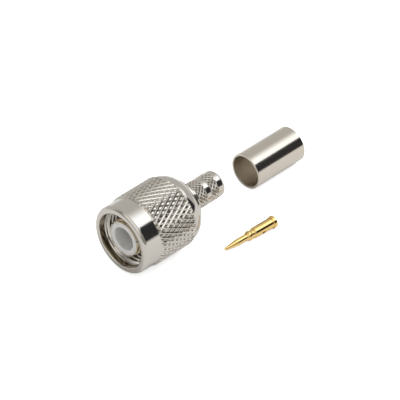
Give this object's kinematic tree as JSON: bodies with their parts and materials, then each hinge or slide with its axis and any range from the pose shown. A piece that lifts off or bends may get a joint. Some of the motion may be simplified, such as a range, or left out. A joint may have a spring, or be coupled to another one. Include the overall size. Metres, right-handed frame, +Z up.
{
  "type": "tnc crimp plug",
  "caption": "Straight coaxial crimp plug with a knurled threaded coupling nut, slotted outer contact, insulator, loose crimp ferrule and loose centre contact",
  "frame": {"origin": "on the plug's axis, in the front plane of the coupling nut, where the mating socket's thread enters", "axes": "+Y along the plug's axis from the nut's mouth to the crimp stem, +Z up from the surface that the kit lies on, +X to the side of the loose centre contact"},
  "size_m": [0.0192, 0.0474, 0.0144],
  "materials": {
    "nickel_nut": "bright nickel plate on turned and knurled brass",
    "nickel_body": "bright nickel plate on turned and knurled brass",
    "nickel_spring": "nickel plate on spring bronze",
    "ptfe": "turned white fluoropolymer",
    "silicone": "moulded silicone, matt",
    "spring_bronze": "drawn bronze wire, bare",
    "gold": "gold plate on turned brass",
    "nickel_ferrule": "satin nickel plate on drawn tube"
  },
  "bodies": {
    "plug": {"connector_body": "nickel_body", "outer_contact": "nickel_spring", "insulator": "ptfe", "gasket": "silicone", "retaining_ring": "spring_bronze", "centre_contact": "gold", "crimp_ferrule": "nickel_ferrule"},
    "nut": {"coupling_nut": "nickel_nut"}
  },
  "joints": [
    {"name": "nut_turn", "type": "hinge", "parent": "plug", "child": "nut", "pos_m": [0, 0.008, 0], "axis": [0, 1, 0], "continuous": true}
  ]
}
